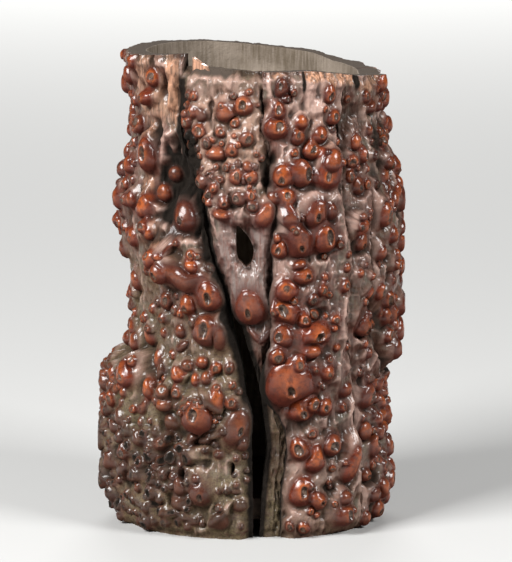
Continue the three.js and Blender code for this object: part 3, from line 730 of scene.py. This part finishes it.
    def fleck(self, low_angle, high_angle, low, high, count, least, most, crater=False):
        """Small knobs at random places that keep clear of the middles of those already grown."""
        grown = 0
        for _ in range(count * 4):
            angle, height = self.random.uniform((low_angle, low), (high_angle, high))
            radius = least + (most - least) * self.random.uniform() ** 1.6
            row = min(np.searchsorted(self.up[:, WALL_STEPS], height), self.up.shape[0] - 1)
            left, right = (edge[row, 0] * ARC for edge in self.edges)
            if not left + radius * FLECK_MARGIN < angle * ARC < right - radius * FLECK_MARGIN:
                continue
            placed = np.array(self.knobs).reshape(-1, 3)
            away = np.hypot(placed[:, 0] - angle * ARC, placed[:, 1] - height)
            if np.all(away > FLECK_APART * (placed[:, 2] + radius)):
                self.grow(angle, height, radius, self.random.uniform(0.85, 1.25), crater=crater)
                grown += 1
            if grown == count:
                return

    def scattered(self, low, high, count):
        """A hidden stem's large knobs, spread over its face by the golden turn."""
        margin = BACK_KNOB_MARGIN * (high - low)
        for i in range(count):
            angle = low + margin + (high - low - 2 * margin) * ((i * GOLDEN_TURN) % 1)
            height = HEIGHT * (BACK_KNOB_START + BACK_KNOB_SPAN * (i + 0.5) / count)
            yield angle, height, BACK_KNOB_RADII[i % len(BACK_KNOB_RADII)], BACK_KNOB_STRETCH

    def slit(self, place, depth):
        """A slit: the bark sinks steeply inside an upright ellipse, and is marked to be painted black as
        shade.
        """
        sink = fading(self.ellipse(*place), 0.6, 0.8)
        self.points -= self.radial * (depth * sink)[..., None]
        self.masks["slit"] = np.maximum(self.masks["slit"], sink)

    def patch(self, mask, place, strength):
        """Raises a mask inside an upright ellipse with a soft edge."""
        away = self.ellipse(*place) + 0.25 * self.waves(PATCH_EDGES)
        value = strength * fading(away, 0.5, 0.6) * (self.outside > 0.5)
        self.masks[mask] = np.maximum(self.masks[mask], value)

    def keep_to_box(self):
        """Draws in what would stand past the CAD model's box, towards the well's axis: beyond
        BOX_SHARE of the way out, a share grows ever slower and never reaches the box."""
        low, high = (np.array(corner) / MM - AXIS for corner in CAD_BOX)
        flat = self.points[..., :2]
        limit = np.where(flat > 0, high[:2], low[:2])
        past = np.max(flat / limit, axis=-1, keepdims=True)
        room = 1 - BOX_SHARE
        kept = np.where(past > BOX_SHARE, BOX_SHARE + room * np.tanh((past - BOX_SHARE) / room), past)
        self.points[..., :2] = flat * kept / np.maximum(past, TINY)
        self.points[..., 2] = np.minimum(self.points[..., 2], high[2])

    def finish(self):
        """Fine pitting and wrinkles along the surface's own normals, then the masks: painted shade for
        what faces down; painted shade with some patina in hollows and painted highlight with some
        polish on crests, from how far a point stands behind or before its surroundings; painted shade
        deep in grooves, seams, slits and recesses; and dust against height."""
        masks, knob = self.masks, self.masks["knob"]
        normal = np.cross(np.gradient(self.points, axis=1), np.gradient(self.points, axis=0))
        normal /= np.linalg.norm(normal, axis=-1, keepdims=True) + TINY
        wrinkles = 1 - 2.4 * np.abs(self.waves(WRINKLES))
        pitting = 0.10 * self.waves(PITS) + 0.12 * self.waves(DIMPLES)
        pitting += 0.24 * wrinkles * (1 - knob)
        self.points += normal * (pitting * self.outside)[..., None]
        self.points[..., 2] = np.maximum(self.points[..., 2], 0)
        # Painted shade: faces that point down are marked to be darkened.
        masks["underside_shade"] = smooth(0.15 - 1.7 * blurred(normal[..., 2], 1)) * self.outside
        self.keep_to_box()
        if "bottom" not in self.stem:
            self.points[0, :, 2] = 0
        proud = np.linalg.norm(self.points[..., :2], axis=-1) - self.start
        near = blurred(proud, max(2, round(1.6 / self.cell)))
        wide = blurred(proud, round(4.5 / self.cell))
        # Painted shade, with some patina: points behind their surroundings are marked to be darkened.
        hollow_shade = 0.55 * smooth(near - proud) + 0.55 * smooth((wide - proud) / 2.2)
        masks["hollow_shade"] = np.clip(hollow_shade + 0.6 * smooth((-wide - 1.2) / 4), 0, 1)
        # Painted highlight, with some polish: points before their surroundings are marked to be lightened.
        masks["crest"] = smooth((proud - near) / 0.9)
        # Painted shade: grooves, the seam faces between stems, slits and recesses are marked to be
        # darkened.
        grooved = smooth((self.groove - 2.2) / 2.2) * smooth((HEIGHT - 3 - self.up) / 4)
        grooved = np.clip(grooved * (1 - 0.8 * knob) + (1 - self.outside), 0, 1)
        masks["deep"] = np.maximum.reduce([grooved, masks.pop("slit"), self.recess * (1 - 0.75 * knob)])
        spread = 0.7 + 0.3 * self.waves(DUSTING)
        masks["dust"] = np.clip(seam(self.stem["dust"])(self.up) * spread, 0, 1)
        # Deep patches are painted shade, and crest patches painted highlight with some polish.
        for mask, *place, strength in self.stem.get("patches", []):
            self.patch(mask, place, strength)
        masks["wall"][:, [0, -1]] = 1
        masks["deep"][:, [0, -1]] = 0


# Meshes

def quads(index):
    """Faces of a grid of vertex numbers, each from one cell's four corners."""
    return np.stack([index[:-1, :-1], index[:-1, 1:], index[1:, 1:], index[1:, :-1]], -1).reshape(-1, 4)


def stitched(few, many):
    """Triangles between a row of few vertices and one with INNER_SHARE times as many segments."""
    left, right = few[:-1], few[1:]
    quarter = [many[i::INNER_SHARE][:left.size] for i in range(INNER_SHARE)]
    quarter.append(many[INNER_SHARE::INNER_SHARE])
    half = INNER_SHARE // 2
    fans = [(left, quarter[i + 1], quarter[i]) for i in range(half)]
    fans += [(left, right, quarter[half])]
    fans += [(right, quarter[i + 1], quarter[i]) for i in range(half, INNER_SHARE)]
    return np.concatenate([np.stack(fan, -1) for fan in fans])


def wall_points(bark):
    """The well's wall behind a stem: the turned radius with faint upright grain."""
    angle, height = bark.inner_angle, bark.inner_height
    x = angle * ARC
    grain = 0.16 * noise(x / 1.1, height / 30, bark.seed + 11)
    grain = grain + 0.3 * noise(x / 6, height / 22, bark.seed + 12)
    inside = np.sin(np.linspace(0, math.pi, angle.shape[1])) ** 0.3
    return polar(well_radius(height) + grain * inside, angle, height)


def cap_points(bark, wall, row, torn):
    """Points across the wall's thickness, from the bark's edge straight to the well's. A torn
    cap has a ripple over it that dies out at both edges."""
    outer = bark.points[row, WALL_STEPS:-WALL_STEPS]
    place = np.linspace(0, wall.shape[1] - 1, len(outer))
    low = np.minimum(place.astype(int), wall.shape[1] - 2)
    part = (place - low)[:, None]
    inner = wall[row, low] * (1 - part) + wall[row, low + 1] * part
    step = np.linspace(0, 1, WALL_STEPS + 1)[1:-1, None]
    cap = outer * (1 - step[..., None]) + inner * step[..., None]
    if torn:
        across = np.linspace(0, len(outer) * bark.cell, len(outer)) + 0 * step
        deep = step * RIM_WIDTH + 0 * across
        ripple = 0.5 * noise(across / 3, deep / 2.4, bark.seed + 13)
        ripple = ripple + 0.35 * noise(across / 1.2, deep / 0.9, bark.seed + 14)
        cap[..., 2] += (0.3 + 0.6 * ripple) * np.sin(step * math.pi) ** 0.5 * 0.7
        cap[..., 2] = np.minimum(cap[..., 2], CAD_BOX[1][2] / MM)
    return cap[:, 1:-1]


def closed_stem(bark):
    """Vertices, faces and masks of a stem: the bark grid and the well's wall make a tube, and a
    cap across the wall closes it at the rim and at the foot."""
    rows, sheet = bark.points.shape[:2]
    wall = wall_points(bark)
    ring = np.concatenate([bark.points, wall[:, -2:0:-1]], 1)
    index = np.arange(rows * ring.shape[1]).reshape(rows, -1)
    inner_loop = np.concatenate([index[:, :1], index[:, :sheet - 1:-1], index[:, sheet - 1:sheet]], 1)
    vertices = [ring.reshape(-1, 3)]
    faces = [quads(np.concatenate([index, index[:, :1]], 1))]
    triangles = []
    count = index.size
    for row, way in ((rows - 1, 1), (0, -1)):
        cap = cap_points(bark, wall, row, torn=row > 0)
        grid = np.empty((WALL_STEPS, cap.shape[1] + 2), int)
        grid[0] = index[row, WALL_STEPS:sheet - WALL_STEPS]
        grid[1:, 0] = index[row, WALL_STEPS - 1:0:-1]
        grid[1:, -1] = index[row, sheet - WALL_STEPS:sheet - 1]
        grid[1:, 1:-1] = count + np.arange(cap[..., 0].size).reshape(cap.shape[:2])
        count += cap[..., 0].size
        vertices.append(cap.reshape(-1, 3))
        faces.append(quads(grid)[:, ::way])
        triangles.append(stitched(inner_loop[row], grid[-1])[:, ::way])
    masks = {}
    for name, mask in bark.masks.items():
        on_wall, on_caps = (1.0, 0.5) if name == "wall" else (0.0, 0.0)
        tube = np.concatenate([mask, np.full((rows, wall.shape[1] - 2), on_wall)], 1)
        masks[name] = np.concatenate([tube.ravel(), np.full(count - index.size, on_caps)])
    return np.concatenate(vertices), faces + triangles, masks


def placed(name, data, place=(0, 0, 0), turn=(0, 0, 0)):
    """An object of this data at a place in metres, linked into the scene."""
    made = bpy.data.objects.new(name, data)
    bpy.context.scene.collection.objects.link(made)
    made.location = place
    made.rotation_euler = turn
    return made


def make_mesh(name, vertices, face_sets, masks, material):
    """An object at the origin with these vertices in millimetres round the well's axis."""
    faces = [face for faces in face_sets for face in faces.tolist()]
    mesh = bpy.data.meshes.new(name)
    mesh.from_pydata(((vertices + AXIS) * MM).tolist(), [], faces)
    for mask, values in masks.items():
        layer = mesh.attributes.new(mask, "FLOAT", "POINT")
        layer.data.foreach_set("value", np.ascontiguousarray(values, dtype=np.float32))
    mesh.polygons.foreach_set("use_smooth", np.ones(len(mesh.polygons), bool))
    mesh.materials.append(material)
    mesh.set_sharp_from_angle(angle=SHARP)
    mesh.update()
    return placed(name, mesh)


def curve_through(points, count):
    """A closed smooth curve through the points, by Catmull-Rom's cubic between neighbours."""
    points = np.array(points, float)
    place = np.linspace(0, len(points), count, endpoint=False)
    i, t = place.astype(int), (place % 1)[:, None]
    p0, p1, p2, p3 = (points[(i + k) % len(points)] for k in (-1, 0, 1, 2))
    return 0.5 * (2 * p1 + (p2 - p0) * t + (2 * p0 - 5 * p1 + 4 * p2 - p3) * t ** 2
                  + (3 * p1 - p0 - 3 * p2 + p3) * t ** 3)


def dip_round_hole(bark):
    """The bark sinks towards the hole's outline, so that its edge is rounded."""
    rim = curve_through(HOLE, HOLE_POINTS)
    flat = bark.points[..., [0, 2]]
    near = np.all(np.abs(flat - HOLE_MIDDLE) < HOLE_SEARCH, axis=-1) & (bark.outside > 0.5)
    away = np.full(near.shape, np.inf)
    away[near] = np.linalg.norm(flat[near][:, None] - rim[None], axis=-1).min(1)
    bark.points -= bark.radial * (HOLE_DIP * fading(away, 0, HOLE_LIP))[..., None]


def cut_hole(piece, material):
    """The hole goes straight in from the front: a prism over its outline is cut away."""
    rim = curve_through(HOLE, HOLE_POINTS)
    ends = [np.insert(rim, 1, y, axis=1) for y in HOLE_REACH]
    here = np.arange(HOLE_POINTS)
    after = (here + 1) % HOLE_POINTS
    sides = np.stack([here, here + HOLE_POINTS, after + HOLE_POINTS, after], -1)
    faces = [sides, here[None, :], (here + HOLE_POINTS)[None, ::-1]]
    cutter = make_mesh("hole_cutter", np.concatenate(ends), faces, {}, material)
    cut = piece.modifiers.new("hole", "BOOLEAN")
    cut.object = cutter
    cut.solver = "EXACT"
    cut.use_self = True
    bpy.context.view_layer.update()
    graph = bpy.context.evaluated_depsgraph_get()
    result = bpy.data.meshes.new_from_object(piece.evaluated_get(graph))
    piece.modifiers.clear()
    piece.data = result
    bpy.data.objects.remove(cutter)


# Materials

class Nodes:
    """Makes the nodes of one shader tree. Whatever a node takes is a link or a plain value."""

    def __init__(self, tree):
        """All nodes and links go into this tree."""
        self.tree = tree

    def feed(self, socket, value):
        """Links a socket to another node's, or gives it a value."""
        if isinstance(value, bpy.types.NodeSocket):
            self.tree.links.new(value, socket)
        else:
            socket.default_value = value

    def node(self, kind, **settings):
        """A shader node with its sockets' values or its own properties set by name."""
        made = self.tree.nodes.new("ShaderNode" + kind)
        for name, value in settings.items():
            if name in made.inputs:
                self.feed(made.inputs[name], value)
            else:
                setattr(made, name, value)
        return made

    def mix(self, factor, first, second):
        """A colour, blended from first to second by the factor."""
        made = self.node("Mix", data_type="RGBA")
        for number, value in ((0, factor), (6, first), (7, second)):
            self.feed(made.inputs[number], value)
        return made.outputs[2]

    def calc(self, operation, first, second):
        """The result of a math node, kept between 0 and 1."""
        made = self.node("Math", operation=operation, use_clamp=True)
        for socket, value in zip(made.inputs, (first, second)):
            self.feed(socket, value)
        return made.outputs[0]

    def plus(self, first, *others):
        """A sum, kept between 0 and 1 after each step."""
        for other in others:
            first = self.calc("ADD", first, other)
        return first

    def times(self, first, second):
        """A product."""
        return self.calc("MULTIPLY", first, second)

    def less(self, first, second):
        """A difference."""
        return self.calc("SUBTRACT", first, second)

    def ramp(self, factor, low, high):
        """The factor stretched so that low becomes 0 and high becomes 1."""
        made = self.node("MapRange", clamp=True, Value=factor)
        made.inputs["From Min"].default_value = low
        made.inputs["From Max"].default_value = high
        return made.outputs["Result"]

    def squeezed(self, *scale):
        """Places on the object, scaled so that noise over them is drawn out one way."""
        place = self.node("TexCoord").outputs["Object"]
        return self.node("Mapping", Scale=scale, Vector=place).outputs["Vector"]

    def layered(self, color, *layers):
        """A colour with others laid over it in turn, each with its strength."""
        for strength, layer in layers:
            color = self.mix(strength, color, layer)
        return color

    def surface(self, values):
        """Feeds the sockets of the material's Principled shader, by name."""
        for name, value in values.items():
            self.feed(self.tree.nodes["Principled BSDF"].inputs[name], value)


def new_material(name):
    """A material with its Principled shader, and the maker of its nodes."""
    material = bpy.data.materials.new(name)
    material.use_nodes = True
    return material, Nodes(material.node_tree)


def root_group():
    """Colour, roughness, gloss and relief of root wood, from the masks on the mesh. Painted shade
    darkens hollows, undersides, grooves and recesses, and painted light brightens crests and knob tops.
    """
    tree = bpy.data.node_groups.new("root_wood", "ShaderNodeTree")
    tree.interface.new_socket(name="Red", in_out="INPUT", socket_type="NodeSocketFloat")
    for name, kind in (("Color", "Color"), ("Roughness", "Float"), ("Gloss", "Float"), ("Height", "Float")):
        tree.interface.new_socket(name=name, in_out="OUTPUT", socket_type="NodeSocket" + kind)
    redness = tree.nodes.new("NodeGroupInput").outputs["Red"]
    out = tree.nodes.new("NodeGroupOutput").inputs
    wood = Nodes(tree)
    mix, layered, ramp = wood.mix, wood.layered, wood.ramp
    times, less, plus = wood.times, wood.less, wood.plus
    knob, eye, ring, lip, tone, hollow_shade, crest, dust, wall, bare, deep, stain, underside_shade, fibre = (
        wood.node("Attribute", attribute_name=name).outputs["Fac"]
        for name in ("knob", "eye", "ring", "lip", "tone", "hollow_shade", "crest", "dust", "wall", "bare",
                     "deep", "stain", "underside_shade", "fibre"))
    place = wood.node("TexCoord").outputs["Object"]

    def cloud(scale, detail=5, vector=place):
        """Soft noise between 0 and 1, in waves of one metre over the scale."""
        made = wood.node("TexNoise", Scale=scale, Detail=detail, Roughness=CLOUD_ROUGHNESS, Vector=vector)
        return made.outputs["Fac"]

    broad, small, mottle, fine = cloud(55), cloud(240), cloud(420, 4), cloud(1500, 3)
    grain = cloud(900, 4, wood.squeezed(1, 1, 0.08))
    streaks = ramp(grain, 0.45, 0.62)
    stained = times(times(stain, redness), ramp(small, 0.26, 0.50))
    bark = layered(
        mix(ramp(broad, 0.36, 0.58), BARK_BROWN, BARK_MAUVE),
        (times(ramp(cloud(130), 0.47, 0.60), 0.8), BARK_OLIVE),
        (times(stained, 0.9), CHESTNUT),
        (times(streaks, 0.4), MAROON),
        # Painted highlight, with some polish: crests lightened.
        (times(crest, less(0.75, times(stained, 0.45))), POLISH_AND_HIGHLIGHT),
        (times(bare, 0.85), mix(times(streaks, 0.5), BARE_GREY, CHESTNUT)),
        (fibre, mix(times(streaks, 0.75), FIBRE, BARK_BROWN)),
        # Painted shade, with some patina: hollows darkened.
        (times(hollow_shade, 0.75), BARK_SHADE))
    ripe = ramp(tone, 0.1, 0.7)
    bulb = layered(
        mix(ripe, UNRIPE, CHESTNUT),
        (times(ramp(small, 0.44, 0.60), 0.5), MAROON),
        # Partly painted light: the knob's upper side and the eye's lip turn orange.
        (times(lip, times(ripe, 0.9)), ORANGE),
        (times(ramp(mottle, 0.50, 0.62), 0.55), MAROON),
        (times(ramp(cloud(260, 4), 0.54, 0.64), 0.35), UNRIPE))
    bare_of_dust = times(knob, plus(0.72, times(ripe, 0.25)))
    dusted = times(times(dust, ramp(small, 0.26, 0.46)), less(1, bare_of_dust))
    inside = layered(
        mix(ramp(grain, 0.35, 0.65), WALL_TAUPE, WALL_BROWN),
        (times(ramp(broad, 0.42, 0.62), 0.5), WALL_PALE))
    color = layered(
        mix(times(ramp(knob, 0.1, 0.8), redness), bark, bulb),
        # Painted shade: faces that point down turn maroon.
        (times(underside_shade, 0.7), MAROON),
        (dusted, mix(ramp(fine, 0.4, 0.7), KHAKI, BARK_BROWN)),
        (times(eye, 0.9), mix(ramp(cloud(700, 3), 0.40, 0.58), EYE_DARK, EYE_GREY)),
        (times(ring, 0.8), DEEP),
        # Painted shade: the deepest hollows darken further.
        (times(times(hollow_shade, hollow_shade), 0.5), DEEP),
        # Painted shade: grooves, seam faces, slits, craters and recesses turn darkest brown.
        (ramp(deep, 0, 0.85), DEEP),
        (ramp(wall, 0.2, 0.5), RIM_BROWN),
        (ramp(wall, 0.6, 0.95), inside))
    matt = plus(times(dusted, 0.3), times(hollow_shade, 0.3), ramp(wall, 0, 0.5), times(eye, 0.2),
                times(deep, 0.8), times(underside_shade, 0.85))
    flat = less(1, times(knob, 0.8))
    wood.feed(out["Color"], color)
    wood.feed(out["Roughness"], plus(plus(0.2, times(ramp(small, 0.3, 0.7), 0.15)), matt))
    wood.feed(out["Gloss"], less(plus(0.7, times(knob, 0.15)), matt))
    wood.feed(out["Height"], plus(times(grain, times(flat, 0.6)), times(fine, 0.4),
                                  times(times(mottle, flat), 0.75)))
    return tree


def root_material(name, group, red):
    """Polished root wood. red is how far its knobs have ripened from bark to red-brown."""
    material, nodes = new_material(name)
    wood = nodes.node("Group", node_tree=group, Red=red).outputs
    bump = nodes.node("Bump", Strength=0.6, Distance=0.0008, Height=wood["Height"])
    nodes.surface({"Base Color": wood["Color"], "Roughness": wood["Roughness"],
                   "Coat Weight": wood["Gloss"], "Coat Roughness": 0.2,
                   "Specular IOR Level": 0.15, "Normal": bump.outputs["Normal"]})
    return material


def board_material():
    """Plain brown wood with long grain across the floor board."""
    material, nodes = new_material("board_wood")
    made = nodes.node("TexNoise", Scale=420, Detail=6, Vector=nodes.squeezed(0.06, 1, 1))
    grain = made.outputs["Fac"]
    bump = nodes.node("Bump", Strength=0.4, Distance=0.0004, Height=grain)
    nodes.surface({"Base Color": nodes.mix(nodes.ramp(grain, 0.35, 0.65), BOARD_DARK, BOARD_PALE),
                   "Roughness": 0.7, "Specular IOR Level": 0.1, "Normal": bump.outputs["Normal"]})
    return material


# The pot

def make_stem(name, stem, seed, material):
    """One stem: bark relief, listed knobs from large to small, then random small ones."""
    bark = Bark(stem, seed)
    bark.relief()
    listed = bark.scattered(*stem["scattered"]) if "scattered" in stem else stem["knobs"]
    for angle, height, radius, *form in sorted(listed, key=lambda knob: -knob[2]):
        bark.grow(angle, height, radius * BULB_SPREAD, *form)
    for region in stem["flecks"]:
        bark.fleck(*region)
    for *place, depth in stem.get("slits", []):
        bark.slit(place, depth)
    if name == "centre_root":
        dip_round_hole(bark)
    bark.finish()
    piece = make_mesh(name + "_bark", *closed_stem(bark), material)
    if name == "centre_root":
        cut_hole(piece, material)
    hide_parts(name)
    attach(piece, "root")


def make_slip(material):
    """A thin slip of the well's wall that stands above the centre stem's low rim. Its faces are
    blended between its straight sides and chipped more towards the top."""
    low_left, low_right, high_right, high_left = np.array(SLIP, float)
    up = np.linspace(0, 1, SLIP_ROWS)[:, None]
    share = np.linspace(0, 1, SLIP_COLUMNS)[:, None, None]
    first = low_left + (high_left - low_left) * up
    last = low_right + (high_right - low_right) * up
    face = first * (1 - share) + last * share
    chip = 0.35 * noise(face[..., 0] / 1.3, face[..., 1] / 1.1, SLIP_SEED) * up[:, 0]
    angle = SLIP_ANGLE + face[..., 0] / WELL_RADIUS_RIM / DEGREE
    sides = [polar(WELL_RADIUS_RIM + depth + 0.2 * chip, angle, face[..., 1] + chip)
             for depth in SLIP_DEPTHS]
    inner = np.arange(angle.size).reshape(angle.shape)
    outer = inner + angle.size
    border = [np.stack([outer[0], inner[0]]), np.stack([inner[-1], outer[-1]]),
              np.stack([inner[:, 0], outer[:, 0]]), np.stack([outer[:, -1], inner[:, -1]])]
    faces = [quads(inner), quads(outer)[:, ::-1]] + [quads(edge) for edge in border]
    masks = {"fibre": np.full(2 * angle.size, 0.9)}
    piece = make_mesh("rim_slip", np.reshape(sides, (-1, 3)), faces, masks, material)
    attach(piece, "root")


def add_camera():
    """The photograph's view: from the front, ten degrees above level."""
    camera = bpy.data.cameras.new("camera")
    camera.lens = CAMERA_LENS
    camera.sensor_width = CAMERA_SENSOR
    camera.clip_end = CAMERA_FAR
    across, height = CAMERA_AIM
    place = (across, -CAMERA_DISTANCE * math.cos(CAMERA_RISE),
             height + CAMERA_DISTANCE * math.sin(CAMERA_RISE))
    bpy.context.scene.camera = placed("camera", camera, place, (math.pi / 2 - CAMERA_RISE, 0, 0))


def add_floor():
    """A plain pale floor."""
    mesh = bpy.data.meshes.new("floor")
    corners = [(x * FLOOR_HALF, y * FLOOR_HALF, 0) for x, y in ((-1, -1), (1, -1), (1, 1), (-1, 1))]
    mesh.from_pydata(corners, [], [(0, 1, 2, 3)])
    paint, nodes = new_material("floor_paint")
    nodes.surface({"Base Color": FLOOR_PAINT, "Roughness": 0.8})
    mesh.materials.append(paint)
    floor = placed("floor", mesh)
    floor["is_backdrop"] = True


def add_lamp(name, place, size, power, aim):
    """A soft square lamp that faces what it is aimed at."""
    lamp = bpy.data.lights.new(name, "AREA")
    lamp.size = size
    lamp.energy = power
    placed(name, lamp, place, (Vector(aim) - Vector(place)).to_track_quat("-Z", "Y").to_euler())


def add_world():
    """Even pale light from all round."""
    world = bpy.data.worlds.new("studio")
    world.use_nodes = True
    light = world.node_tree.nodes["Background"].inputs
    light["Color"].default_value = WORLD_LIGHT
    light["Strength"].default_value = WORLD_STRENGTH
    bpy.context.scene.world = world
    bpy.context.scene.view_settings.view_transform = "Standard"


add_camera()
group = root_group()
materials = {name: root_material(name + "_wood", group, red) for name, red in REDNESS.items()}
for number, (name, stem) in enumerate(STEMS.items()):
    make_stem(name, stem, 100 * (number + 1), materials[name])
make_slip(materials["centre_root"])
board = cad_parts["floor_board"]
board.data.materials.clear()
board.data.materials.append(board_material())
add_floor()
for lamp in LAMPS:
    add_lamp(*lamp)
add_world()

({"cad": [list(corner) for corner in CAD_BOX],
           "visual": [list(corner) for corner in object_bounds()]})
